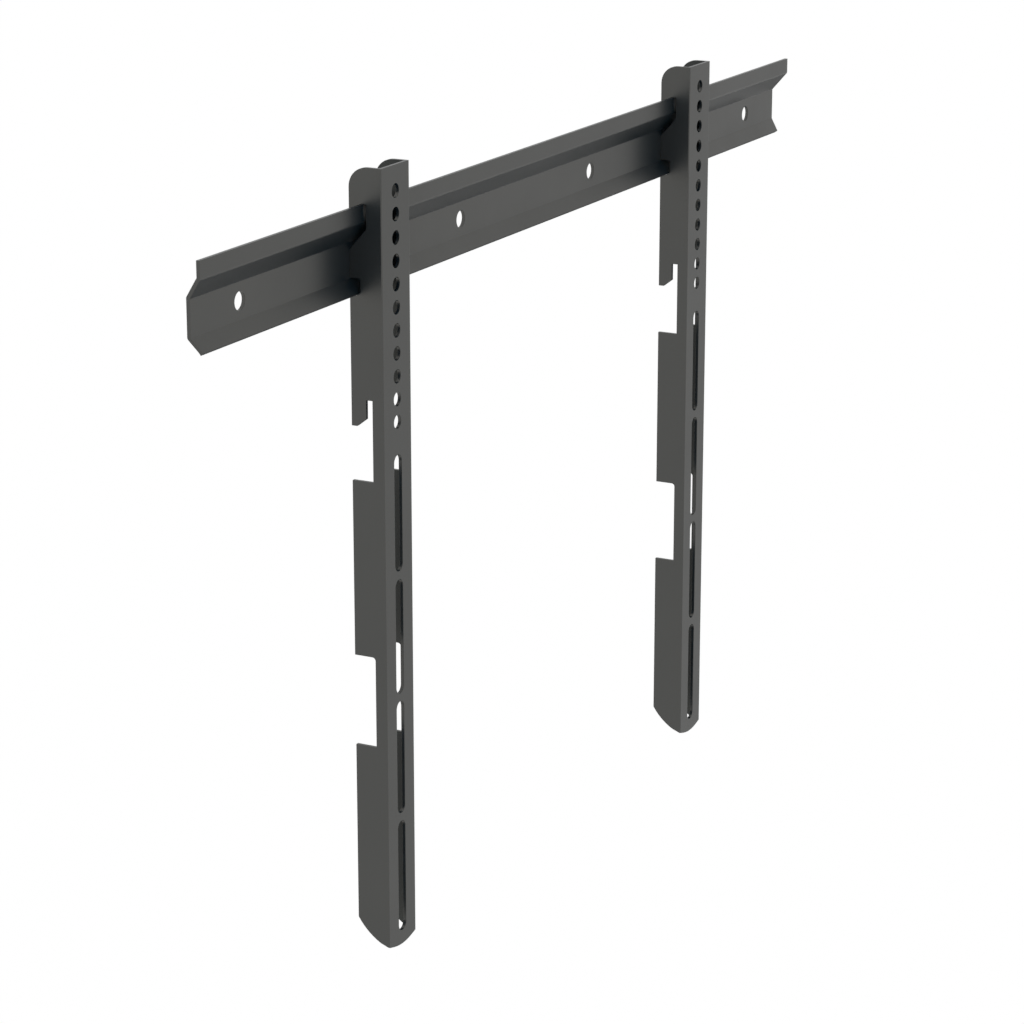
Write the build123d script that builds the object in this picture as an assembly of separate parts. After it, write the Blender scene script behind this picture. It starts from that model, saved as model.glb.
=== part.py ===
"""Fixed wall bracket for a flat screen: a folded wall rail and two folded arms that hook over it.

Frame, in millimetres: +X along the rail, +Y into the wall, +Z up. The origin lies on the rail's
wall face, at the middle of its row of screw holes.
"""

import os
from math import atan, cos, radians, sin, sqrt, tan

from build123d import *

# Wall rail, across its section

rail_sheet = 2.0            # thickness of the rail's sheet
rail_bend_radius = 0.5      # inside radius of each fold
web_above_holes = 10.1      # hole line to the fold at the top of the web
web_below_holes = 9.95      # hole line to the fold at the bottom of the web
slant_rise = 11.5           # height of the slanted strip above the web
hook_reach = 9.0            # how far the hook flange stands in front of the web
hook_height = 9.7           # height of the upright hook flange
lip_reach = 5.6             # how far the bottom lip stands in front of the web
lip_drop = 7.85             # height of the bottom lip

# Wall rail, along its length

web_length = 742.5
hook_overhang = 4.0         # the hook flange is longer than the web by this at each end
lip_setback = 2.75          # the lip's front edge is shorter than the web by this at each end
screw_hole_diameter = 10.2
inner_screw_spacing = 169.5
outer_screw_spacing = 648.6

# Arms, across their section

arm_width = 31.0
arm_depth = 20.0
arm_sheet = 2.0
arm_bend_radius = 0.5       # inside radius of the two long folds

# Arms, along their length, down from the top edge

arm_length = 452.0
arm_rise = 20.0             # top edge above the rail's hook flange, which carries the arm
top_corner_radius = 11.0    # back corner of each side flange
bottom_arc_radius = 38.6    # round end, cut in the flat sheet before it is folded

# Screw holes and slots for the screen, in the arm's web

hole_count = 11
hole_diameter = 8.0
hole_pitch = 12.85
first_hole_drop = 14.1
slot_count = 4
slot_width = 8.6
slot_length = 67.1
slot_pitch = 71.75
first_slot_drop = 161.3     # top edge to the top end of the first slot

# Hook that hangs on the rail, in both side flanges

finger_clearance = 0.5      # behind the rail's hook flange
front_clearance = 1.5       # in front of the rail's hook flange
finger_length = 12.0
ramp_clearance = 1.0        # between the finger's slanted tip and the rail's slanted strip
mouth_drop = 4.2            # upright gap under the rail's slanted strip, at the web
mouth_rise = 12.0           # rise of the mouth's slanted lower edge
lip_top_clearance = 0.4
lip_front_clearance = 0.9
lip_bottom_clearance = 0.2  # under the lip's cut end, which the notch follows

# Second hook and the two long cut-outs in the back edges of the side flanges

cutout_depth = 13.1
low_hook_slot_drop = 128.2  # top edge to the top of the slot behind the second hook
low_hook_tip_drop = 143.3
low_hook_depth = 9.1        # finger, from the back edge to the slot
low_hook_flat = 3.4         # flat end of the finger, from the back edge
low_hook_chamfer_rise = 4.4
first_cutout_end_drop = 174.4
second_cutout_drop = 275.6
second_cutout_length = 53.1
second_cutout_radius = 2.0  # upper inner corner
cut_corner_radius = 0.8     # other inner corners, as the punch leaves them

# Where the arms hang

arm_spacing = 400.0
arm_shift = 3.4             # both arms hang this much to the right of the rail's middle

# Heights and places that follow from these sizes

web_front = -rail_sheet
slant_top = web_above_holes + slant_rise
rail_top = slant_top + hook_height
lip_bottom = -web_below_holes - lip_drop
slant_angle = atan(hook_reach / slant_rise)
lip_angle = atan(lip_reach / lip_drop)

arm_back = web_front
arm_front = arm_back - arm_depth
arm_top = rail_top + arm_rise
arm_bottom = arm_top - arm_length
arm_fold = arm_sheet + arm_bend_radius      # outside radius of the arm's folds
past = 5.0                                  # how far a cutting shape runs past what it cuts


def depth(distance, height):
    """Point in the side view of an arm, a distance in front of the arm's back edge."""
    return (arm_back - distance, height)


def side_prism(face, width):
    """Extrude a face drawn in the YZ plane by a width, centred on X = 0."""
    return extrude(face, width / 2, dir=(1, 0, 0), both=True)


def outline_face(*edges):
    """One face bounded by edges that follow each other."""
    return make_face(Curve() + list(edges))


# Wall rail

def rail_section():
    """Folded section in the YZ plane: hook flange, slanted strip, web and lip."""
    front = [
        (web_front - hook_reach, rail_top),
        (web_front - hook_reach, slant_top),
        (web_front, web_above_holes),
        (web_front, -web_below_holes),
        (web_front - lip_reach, lip_bottom),
    ]
    slant_shift = rail_sheet * tan(slant_angle / 2)
    lip_shift = rail_sheet * tan(lip_angle / 2)
    back = [
        (web_front - lip_reach + rail_sheet * cos(lip_angle), lip_bottom - rail_sheet * sin(lip_angle)),
        (0, -web_below_holes - lip_shift),
        (0, web_above_holes + slant_shift),
        (web_front - hook_reach + rail_sheet, slant_top + slant_shift),
        (web_front - hook_reach + rail_sheet, rail_top),
    ]
    section = make_face(Plane.YZ * Polyline(*front, *back, close=True))
    inside = [front[2], front[3], back[3]]
    outside = [front[1], back[1], back[2]]
    section = fillet(corners_at(section, inside), rail_bend_radius)
    return fillet(corners_at(section, outside), rail_bend_radius + rail_sheet)


def corners_at(shape, points):
    """Corners of a shape in the YZ plane that lie at the given points."""
    return [shape.vertices().sort_by_distance((0, y, z))[0] for y, z in points]


def rail_end_outline():
    """Front view of the rail's cut ends, as a face in the XZ plane with both ends trimmed."""
    half = web_length / 2
    right = [
        (half + hook_overhang, rail_top + past),
        (half + hook_overhang, slant_top),
        (half, web_above_holes),
        (half, -web_below_holes),
        (half - lip_setback, lip_bottom),
        (half - lip_setback, lip_bottom - past),
    ]
    left = [(-x, z) for x, z in reversed(right)]
    return make_face(Plane.XZ * Polyline(*right, *left, close=True))


def make_wall_rail():
    """Folded rail with trimmed ends and four screw holes through its web."""
    longest = web_length + 2 * hook_overhang
    rail = side_prism(rail_section(), longest + 2 * past)
    reach = hook_reach + rail_sheet + past
    rail = rail & extrude(rail_end_outline(), reach, dir=(0, 1, 0), both=True)
    for spacing in (inner_screw_spacing, outer_screw_spacing):
        for x in (-spacing / 2, spacing / 2):
            rail -= Pos(x, 0, 0) * Rot(90, 0, 0) * Cylinder(screw_hole_diameter / 2, 2 * (rail_sheet + past))
    return rail


# Arms

def channel_section():
    """U section in the XY plane: web at the front, side flanges towards the wall."""
    half = arm_width / 2
    inner = half - arm_sheet
    section = make_face(Polyline(
        (-half, arm_back), (-half, arm_front), (half, arm_front), (half, arm_back),
        (inner, arm_back), (inner, arm_front + arm_sheet),
        (-inner, arm_front + arm_sheet), (-inner, arm_back), close=True))
    front_corners = [v for v in section.vertices() if abs(v.Y - arm_front) < arm_sheet / 2]
    section = fillet(front_corners, arm_fold)
    inner_corners = [
        v for v in section.vertices()
        if abs(v.Y - arm_front - arm_sheet) < arm_sheet / 4 and abs(abs(v.X) - inner) < arm_sheet / 4
    ]
    return fillet(inner_corners, arm_bend_radius)


def arc_height(across):
    """Height of the round end, a distance across the flat sheet from the web's middle."""
    centre = arm_bottom + bottom_arc_radius
    return centre - sqrt(bottom_arc_radius**2 - across**2)


def front_outline():
    """Front view of an arm's web: straight top, round bottom end."""
    half = arm_width / 2 + past
    return outline_face(
        Line((-half, arm_top + past), (half, arm_top + past)),
        Line((half, arm_top + past), (half, arc_height(half))),
        ThreePointArc((half, arc_height(half)), (0, arm_bottom), (-half, arc_height(half))),
        Line((-half, arc_height(half)), (-half, arm_top + past)))


def flange_outline():
    """Side view of an arm, drawn as (Y, Z): the round end carries on round the fold."""
    fold_end = arm_front + arm_fold
    half = arm_width / 2
    middle_y = (fold_end + arm_back) / 2
    across = half + arm_back - fold_end
    middle_across = half + middle_y - fold_end
    radius = top_corner_radius
    start = (arm_back, arc_height(across))
    middle = (middle_y, arc_height(middle_across))
    end = (fold_end, arc_height(half))
    corner = Polyline(
        end, (fold_end, arm_bottom - past), (arm_front - past, arm_bottom - past),
        (arm_front - past, arm_top), (arm_back - radius, arm_top))
    round_corner = ThreePointArc(
        (arm_back - radius, arm_top),
        (arm_back - radius + radius * sin(radians(45)), arm_top - radius + radius * cos(radians(45))),
        (arm_back, arm_top - radius))
    back_edge = Line((arm_back, arm_top - radius), start)
    return outline_face(ThreePointArc(start, middle, end), corner, round_corner, back_edge)


def rounded_cut(points, radius):
    """Cut-out in the side view whose inner corners are rounded; the last two points lie outside."""
    face = make_face(Polyline(*points, close=True))
    inner = [v for v in face.vertices() if v.X < arm_back - radius / 2]
    return fillet(inner, radius)


def rail_hook_cut():
    """Slot, mouth and finger tip that let the arm hang on the rail's hook flange."""
    finger_depth = hook_reach - rail_sheet - finger_clearance
    slot_depth = hook_reach + front_clearance
    slope = slant_rise / hook_reach
    strip = web_above_holes + (rail_sheet + ramp_clearance) / sin(slant_angle)
    tip = rail_top - finger_length
    tip_flat = (tip - strip) / slope
    mouth = web_above_holes - mouth_drop
    return make_face(Polyline(
        depth(-past, tip),
        depth(tip_flat, tip),
        depth(finger_depth, strip + slope * finger_depth),
        depth(finger_depth, rail_top),
        depth(slot_depth, rail_top),
        depth(slot_depth, mouth + mouth_rise),
        depth(0, mouth),
        depth(-past, mouth), close=True))


def rail_lip_cut():
    """Notch that lets the rail's bottom lip stand in front of the arm's back edge."""
    top = lip_top_clearance - web_below_holes
    bottom = lip_bottom - rail_sheet * sin(lip_angle) - lip_bottom_clearance
    reach = lip_reach + lip_front_clearance
    under_lip = lip_bottom - lip_bottom_clearance / cos(lip_angle)
    level_end = lip_reach - (under_lip - bottom) / tan(lip_angle)
    return rounded_cut(
        [depth(reach, top),
         depth(reach, under_lip + lip_front_clearance * tan(lip_angle)),
         depth(level_end, bottom),
         depth(-past, bottom),
         depth(-past, top)],
        cut_corner_radius)


def low_hook_cut():
    """Second hook: a finger, the slot in front of it and the cut-out below."""
    slot_top = arm_top - low_hook_slot_drop
    tip = arm_top - low_hook_tip_drop
    end = arm_top - first_cutout_end_drop
    return make_face(Polyline(
        depth(-past, tip),
        depth(low_hook_flat, tip),
        depth(low_hook_depth, tip + low_hook_chamfer_rise),
        depth(low_hook_depth, slot_top),
        depth(cutout_depth, slot_top),
        depth(cutout_depth, end),
        depth(-past, end), close=True))


def long_cut():
    """Lower cut-out, rounded at its upper inner corner."""
    top = arm_top - second_cutout_drop
    end = top - second_cutout_length
    face = make_face(Polyline(
        depth(-past, top), depth(cutout_depth, top), depth(cutout_depth, end), depth(-past, end),
        close=True))
    corner = face.vertices().sort_by_distance((arm_back - cutout_depth, top, 0))[0]
    return fillet(corner, second_cutout_radius)


def web_holes():
    """Row of round holes and the slots below it, as cutters through the web."""
    reach = 2 * (arm_sheet + past)
    first_hole = arm_top - first_hole_drop
    first_slot = arm_top - first_slot_drop - slot_length / 2
    across = Pos(0, arm_front, 0) * Rot(90, 0, 0)
    cutters = []
    for row in range(hole_count):
        place = Pos(0, first_hole - row * hole_pitch, 0)
        cutters.append(across * place * Cylinder(hole_diameter / 2, reach))
    for row in range(slot_count):
        slot = Pos(0, first_slot - row * slot_pitch) * SlotOverall(slot_length, slot_width, rotation=90)
        cutters.append(across * extrude(slot, reach / 2, both=True))
    return cutters


def make_arm():
    """Folded arm centred on X = 0, hanging on the rail."""
    middle = (arm_top + arm_bottom) / 2
    arm = Pos(0, 0, middle) * extrude(channel_section(), arm_length / 2 + past, both=True)
    reach = arm_depth + past
    arm &= Pos(0, arm_back, 0) * extrude(Plane.XZ * front_outline(), reach, dir=(0, 1, 0), both=True)
    arm &= side_prism(Plane.YZ * flange_outline(), arm_width + 2 * past)
    for cut in (rail_hook_cut(), rail_lip_cut(), low_hook_cut(), long_cut()):
        arm -= side_prism(Plane.YZ * cut, arm_width + 2 * past)
    for cutter in web_holes():
        arm -= cutter
    return arm


def main():
    os.makedirs("parts", exist_ok=True)
    arm = make_arm()
    nodes = {
        "wall_rail": make_wall_rail(),
        "left_arm": Pos(arm_shift - arm_spacing / 2, 0, 0) * arm,
        "right_arm": Pos(arm_shift + arm_spacing / 2, 0, 0) * arm,
    }
    for name, shape in nodes.items():
        shape.label = name
        export_step(shape, f"parts/{name}.step")


main()
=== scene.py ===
"""Looks of a fixed wall bracket for a flat screen: coated steel, white studio and camera.

Lengths are in metres. +X runs along the rail, +Y into the wall and +Z up. The origin lies on the
rail's wall face, at the middle of its row of screw holes.
"""

from math import radians

import bpy
import numpy as np
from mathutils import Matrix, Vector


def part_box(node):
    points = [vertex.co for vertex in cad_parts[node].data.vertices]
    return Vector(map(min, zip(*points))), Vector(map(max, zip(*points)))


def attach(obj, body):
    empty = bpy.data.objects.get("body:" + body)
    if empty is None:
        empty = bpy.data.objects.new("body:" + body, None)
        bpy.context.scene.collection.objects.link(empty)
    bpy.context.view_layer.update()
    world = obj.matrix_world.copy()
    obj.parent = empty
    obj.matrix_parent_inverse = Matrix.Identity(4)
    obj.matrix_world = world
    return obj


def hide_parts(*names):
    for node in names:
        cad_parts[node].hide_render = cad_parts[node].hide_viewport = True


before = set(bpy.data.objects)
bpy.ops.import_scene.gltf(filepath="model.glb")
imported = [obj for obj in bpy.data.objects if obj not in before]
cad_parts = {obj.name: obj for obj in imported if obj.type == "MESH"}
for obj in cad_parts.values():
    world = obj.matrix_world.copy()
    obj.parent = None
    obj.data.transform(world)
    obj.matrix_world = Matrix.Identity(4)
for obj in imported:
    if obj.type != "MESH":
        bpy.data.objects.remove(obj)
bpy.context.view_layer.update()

MM = 0.001

# The sRGB curve: a straight toe, then a power

TOE_END = 0.04045
TOE_SLOPE = 12.92
CURVE_OFFSET = 0.055
CURVE_POWER = 2.4

# Long folds of the arms

FOLD_INSIDE = 0.5 * MM          # inside radius
FOLD_OUTSIDE = 2.5 * MM         # outside radius of the solids
CRISP_OUTSIDE = 0.6 * MM        # outside radius fitted to the photograph
SHEET = FOLD_OUTSIDE - FOLD_INSIDE
MERGE_DISTANCE = 0.001 * MM     # points this close are one point

# Powder-coated steel

MIRROR_COLOUR = "#52504c"       # what the satin coat mirrors of a white room, seen straight on
EDGE_TINT = "#eeeeee"           # fine texture keeps the glancing view from turning white
PIGMENT_COLOUR = "#02111a"      # blue-black under the mirror, seen by itself only in the corners
COAT_ROUGHNESS = 0.35
INSIDE_PAINTED_SHADE_COLOUR = "#454440"       # painted shade: a darker mirror inside the channels, fitted to the tones in the slots
INSIDE_ROUGHNESS = 0.5
ROUGHNESS_SPREAD = 0.03         # how much the roughness wanders over a hand's breadth
PEEL_SIZE = 3.0 * MM            # width of one swelling of the melted and set powder
PEEL_DETAIL = 1.0
PEEL_SHARE = 0.4                # share of each finer layer of the noise
PEEL_DEPTH = 0.006 * MM
GRAIN_SIZE = 0.9 * MM           # one grain of the fine texture, drawn coarse enough to show
GRAIN_DETAIL = 2.0
GRAIN_SHARE = 0.6
GRAIN_DEPTH = 0.010 * MM
CLOUD_SIZE = 60.0 * MM          # patches of slightly duller coat
CLOUD_DETAIL = 3.0
CLOUD_SHARE = 0.6
CLOUD_LOW = 0.3                 # noise values that give the smoothest and the dullest coat
CLOUD_HIGH = 0.7
EDGE_RADIUS = 0.35 * MM         # the coat rounds every cut edge of the sheet
EDGE_SAMPLES = 6

# Studio

FLOOR_HEIGHT = -1.5             # the bracket hangs at the height of a screen on a wall
FLOOR_WIDTH = 60.0
FLOOR_COLOUR = "#ffffff"
SHADOW_SHARE = 0.4              # share of the floor's white that a shadow can darken
FELT_COLOUR = "#101010"
FELT_LOW = (1.0, 0.0)           # dark board low behind the bracket's right end, seen from above
FELT_HIGH = (5.0, 1.6)
FELT_ABOVE_FLOOR = 0.05
WORLD_COLOUR = "#ffffff"
WHITE_STRENGTH = 1.0            # of the dome, and of the floor where the camera sees it

# Camera, at the photograph's viewing angle

EYE = (-1.7312, -0.8820, 0.3715)
LOOK_LEFT_OF_RAIL = 27.224      # angle between the line of sight and the rail, in degrees
LOOK_DOWN = 16.306              # degrees under the horizon
LENS = 116.54                   # focal length in millimetres
SENSOR_WIDTH = 36.0             # millimetres
NEAREST = 0.05
FARTHEST = 200.0


def linear(colour):
    """An sRGB hex colour as linear red, green, blue and alpha."""
    channels = []
    for start in (1, 3, 5):
        share = int(colour[start:start + 2], 16) / 255
        if share <= TOE_END:
            channels.append(share / TOE_SLOPE)
        else:
            channels.append(((share + CURVE_OFFSET) / (1 + CURVE_OFFSET))**CURVE_POWER)
    return (*channels, 1.0)


def add_node(tree, kind, settings=None, links=None):
    """Add a node; settings are attributes or, by socket name, values; links feed its inputs."""
    node = tree.nodes.new(kind)
    for name, value in (settings or {}).items():
        if name in node.inputs:
            node.inputs[name].default_value = value
        else:
            setattr(node, name, value)
    for name, output in (links or {}).items():
        tree.links.new(output, node.inputs[name])
    return node


def add_noise(tree, place, size, detail, share):
    """Add noise whose swellings are about as wide as size, and give its height."""
    noise = add_node(
        tree, "ShaderNodeTexNoise",
        {"Scale": 1 / size, "Detail": detail, "Roughness": share}, {"Vector": place})
    return noise.outputs["Fac"]


def add_bump(tree, depth, height, normal):
    """Add a bump of the given depth on a normal, and give the new normal."""
    bump = add_node(
        tree, "ShaderNodeBump", {"Distance": depth}, {"Height": height, "Normal": normal})
    return bump.outputs["Normal"]


def add_surface(tree, shader):
    """Add the output of a material and feed it."""
    add_node(tree, "ShaderNodeOutputMaterial", {}, {"Surface": shader})


def new_material(name):
    """A material without nodes, and its tree."""
    material = bpy.data.materials.new(name)
    material.use_nodes = True
    material.node_tree.nodes.clear()
    return material, material.node_tree


def powder_coated_steel(name, mirror_colour, middle_roughness):
    """Satin textured powder coat on folded steel.

    To the eye it is a dark grey that brightens at a glancing view, with a fine grain, soft
    rounded edges and slow patches of duller coat.
    """
    material, tree = new_material(name)
    place = add_node(tree, "ShaderNodeTexCoord").outputs["Object"]
    peel = add_noise(tree, place, PEEL_SIZE, PEEL_DETAIL, PEEL_SHARE)
    grain = add_noise(tree, place, GRAIN_SIZE, GRAIN_DETAIL, GRAIN_SHARE)
    cloud = add_noise(tree, place, CLOUD_SIZE, CLOUD_DETAIL, CLOUD_SHARE)
    edges = add_node(tree, "ShaderNodeBevel", {"samples": EDGE_SAMPLES, "Radius": EDGE_RADIUS})
    swollen = add_bump(tree, PEEL_DEPTH, peel, edges.outputs["Normal"])
    normal = add_bump(tree, GRAIN_DEPTH, grain, swollen)
    roughness = add_node(
        tree, "ShaderNodeMapRange",
        {"From Min": CLOUD_LOW, "From Max": CLOUD_HIGH,
         "To Min": middle_roughness - ROUGHNESS_SPREAD,
         "To Max": middle_roughness + ROUGHNESS_SPREAD},
        {"Value": cloud})
    mirror = add_node(
        tree, "ShaderNodeBsdfPrincipled",
        {"Base Color": linear(mirror_colour), "Metallic": 1.0, "Specular Tint": linear(EDGE_TINT)},
        {"Roughness": roughness.outputs["Result"], "Normal": normal})
    pigment = add_node(
        tree, "ShaderNodeBsdfDiffuse", {"Color": linear(PIGMENT_COLOUR)}, {"Normal": normal})
    both = add_node(tree, "ShaderNodeAddShader")
    tree.links.new(mirror.outputs["BSDF"], both.inputs[0])
    tree.links.new(pigment.outputs["BSDF"], both.inputs[1])
    add_surface(tree, both.outputs["Shader"])
    return material


def mesh_arrays(mesh):
    """A triangle mesh's points, the point at each corner, and the normal at each corner."""
    points = np.empty((len(mesh.vertices), 3), np.float32)
    corners = np.empty(len(mesh.loops), np.int32)
    normals = np.empty((len(mesh.loops), 3), np.float32)
    mesh.vertices.foreach_get("co", points.ravel())
    mesh.loops.foreach_get("vertex_index", corners)
    mesh.corner_normals.foreach_get("vector", normals.ravel())
    return points, corners, normals


def crisp_arm(node, coat, inside_painted_shade_coat):
    """An arm whose two long folds have a crisper outer edge than the solid's.

    A point in the quarter round of a fold keeps its angle and its share of the way from the
    inner arc to the outer one. The inner arc stays, and the outer one shrinks to a smaller arc
    that touches the same two faces, so the fold's normals stay as they are. Where the round
    lower end crosses a fold, the heights draw together about their middle as much as the arc
    shrinks, and the cut face there keeps the solid's normals as a close guess. The faces inside
    the channel get a rougher coat of their own, whose darker mirror colour is painted shade.
    """
    shrink = CRISP_OUTSIDE / FOLD_OUTSIDE
    low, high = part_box(node)
    points, corners, normals = mesh_arrays(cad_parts[node].data)
    for side, edge in ((-1, low.x), (1, high.x)):
        centre = np.array((edge - side * FOLD_OUTSIDE, low.y + FOLD_OUTSIDE))
        crisp_centre = np.array((edge - side * CRISP_OUTSIDE, low.y + CRISP_OUTSIDE))
        spokes = points[:, :2] - centre
        in_fold = (side * spokes[:, 0] > -MERGE_DISTANCE) & (spokes[:, 1] < MERGE_DISTANCE)
        reach = np.hypot(spokes[in_fold, 0], spokes[in_fold, 1])[:, None]
        direction = spokes[in_fold] / reach
        inner = centre + FOLD_INSIDE * direction
        outer = crisp_centre + CRISP_OUTSIDE * direction
        share = (reach - FOLD_INSIDE) / SHEET
        points[in_fold, :2] = inner + share * (outer - inner)
        round_end = in_fold & (points[:, 2] < (low.z + high.z) / 2)
        heights = points[round_end, 2]
        middle = (heights.min() + heights.max()) / 2
        points[round_end, 2] = middle + shrink * (heights - middle)
    faces = points[corners].reshape(-1, 3, 3).mean(1)
    # faces inside the channel, which get the coat with the painted shade
    inside = ((faces[:, 0] > low.x + SHEET - MERGE_DISTANCE)
              & (faces[:, 0] < high.x - SHEET + MERGE_DISTANCE)
              & (faces[:, 1] > low.y + SHEET - MERGE_DISTANCE))
    cells, where = np.unique(np.rint(points / MERGE_DISTANCE), axis=0, return_inverse=True)
    mesh = bpy.data.meshes.new(f"{node}_channel")
    mesh.from_pydata(cells * MERGE_DISTANCE, [], where.ravel()[corners].reshape(-1, 3))
    mesh.polygons.foreach_set("use_smooth", np.ones(len(mesh.polygons), bool))
    mesh.materials.append(coat)
    mesh.materials.append(inside_painted_shade_coat)
    mesh.polygons.foreach_set("material_index", inside.astype(np.int32))
    mesh.normals_split_custom_set(normals)
    arm = bpy.data.objects.new(mesh.name, mesh)
    bpy.context.scene.collection.objects.link(arm)
    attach(arm, "root")
    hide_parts(node)


def dress_pieces():
    """Give the rail and both arms their coat."""
    coat = powder_coated_steel("powder_coated_steel", MIRROR_COLOUR, COAT_ROUGHNESS)
    # the inside coat's darker mirror colour paints shade into the channels
    inside_painted_shade_coat = powder_coated_steel("powder_coated_inside_painted_shade", INSIDE_PAINTED_SHADE_COLOUR, INSIDE_ROUGHNESS)
    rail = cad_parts["wall_rail"]
    rail.data.materials.clear()
    rail.data.materials.append(coat)
    crisp_arm("left_arm", coat, inside_painted_shade_coat)
    crisp_arm("right_arm", coat, inside_painted_shade_coat)


def matt_white_paper():
    """White paper: nearly pure white to the camera and in reflections, darkened by shadows."""
    material, tree = new_material("matt_white_paper")
    paper = add_node(tree, "ShaderNodeBsdfDiffuse", {"Color": linear(FLOOR_COLOUR)})
    white = add_node(tree, "ShaderNodeEmission", {"Strength": WHITE_STRENGTH})
    rays = add_node(tree, "ShaderNodeLightPath")
    seen = rays.outputs["Is Camera Ray"]
    for kind in ("Is Glossy Ray", "Is Transmission Ray"):
        either = add_node(tree, "ShaderNodeMath", {"operation": "MAXIMUM"})
        tree.links.new(seen, either.inputs[0])
        tree.links.new(rays.outputs[kind], either.inputs[1])
        seen = either.outputs[0]
    share = add_node(tree, "ShaderNodeMath", {"operation": "MULTIPLY"})
    tree.links.new(seen, share.inputs[0])
    share.inputs[1].default_value = 1 - SHADOW_SHARE
    mix = add_node(tree, "ShaderNodeMixShader", {}, {"Fac": share.outputs[0]})
    tree.links.new(paper.outputs["BSDF"], mix.inputs[1])
    tree.links.new(white.outputs["Emission"], mix.inputs[2])
    add_surface(tree, mix.outputs["Shader"])
    return material


def dark_felt():
    """Black felt, which swallows light."""
    material, tree = new_material("dark_felt")
    felt = add_node(tree, "ShaderNodeBsdfDiffuse", {"Color": linear(FELT_COLOUR)})
    add_surface(tree, felt.outputs["BSDF"])
    return material


def studio_board(name, low, high, height, material):
    """A level rectangle of the studio, between its low and high corners seen from above."""
    corners = [(low[0], low[1], height), (high[0], low[1], height),
               (high[0], high[1], height), (low[0], high[1], height)]
    mesh = bpy.data.meshes.new(name)
    mesh.from_pydata(corners, [], [(0, 1, 2, 3)])
    mesh.materials.append(material)
    board = bpy.data.objects.new(name, mesh)
    bpy.context.scene.collection.objects.link(board)
    return board


def white_floor():
    """White floor far below the bracket."""
    half = FLOOR_WIDTH / 2
    studio_board("floor", (-half, -half), (half, half), FLOOR_HEIGHT, matt_white_paper())


def felt_board():
    """Dark board that shows in reflections alone.

    It darkens the slanted strip towards the rail's right end, as the photograph does. What the
    strip mirrors there in the photograph isn't known.
    """
    height = FLOOR_HEIGHT + FELT_ABOVE_FLOOR
    board = studio_board("felt_board", FELT_LOW, FELT_HIGH, height, dark_felt())
    board.visible_camera = False
    board.visible_diffuse = False
    board.visible_shadow = False


def white_world():
    """An even white dome, which gives the light together with the floor."""
    world = bpy.data.worlds.new("white_dome")
    bpy.context.scene.world = world
    world.use_nodes = True
    tree = world.node_tree
    tree.nodes.clear()
    dome = add_node(
        tree, "ShaderNodeBackground",
        {"Color": linear(WORLD_COLOUR), "Strength": WHITE_STRENGTH})
    add_node(tree, "ShaderNodeOutputWorld", {}, {"Surface": dome.outputs["Background"]})


def camera():
    """Long lens, left of the bracket and a little above it."""
    data = bpy.data.cameras.new("camera")
    data.sensor_width = SENSOR_WIDTH
    data.lens = LENS
    data.clip_start = NEAREST
    data.clip_end = FARTHEST
    eye = bpy.data.objects.new("camera", data)
    eye.location = EYE
    eye.rotation_euler = (radians(90 - LOOK_DOWN), 0, radians(LOOK_LEFT_OF_RAIL - 90))
    bpy.context.scene.collection.objects.link(eye)
    bpy.context.scene.camera = eye


bpy.context.scene.view_settings.view_transform = "Standard"
dress_pieces()
white_floor()
felt_board()
white_world()
camera()
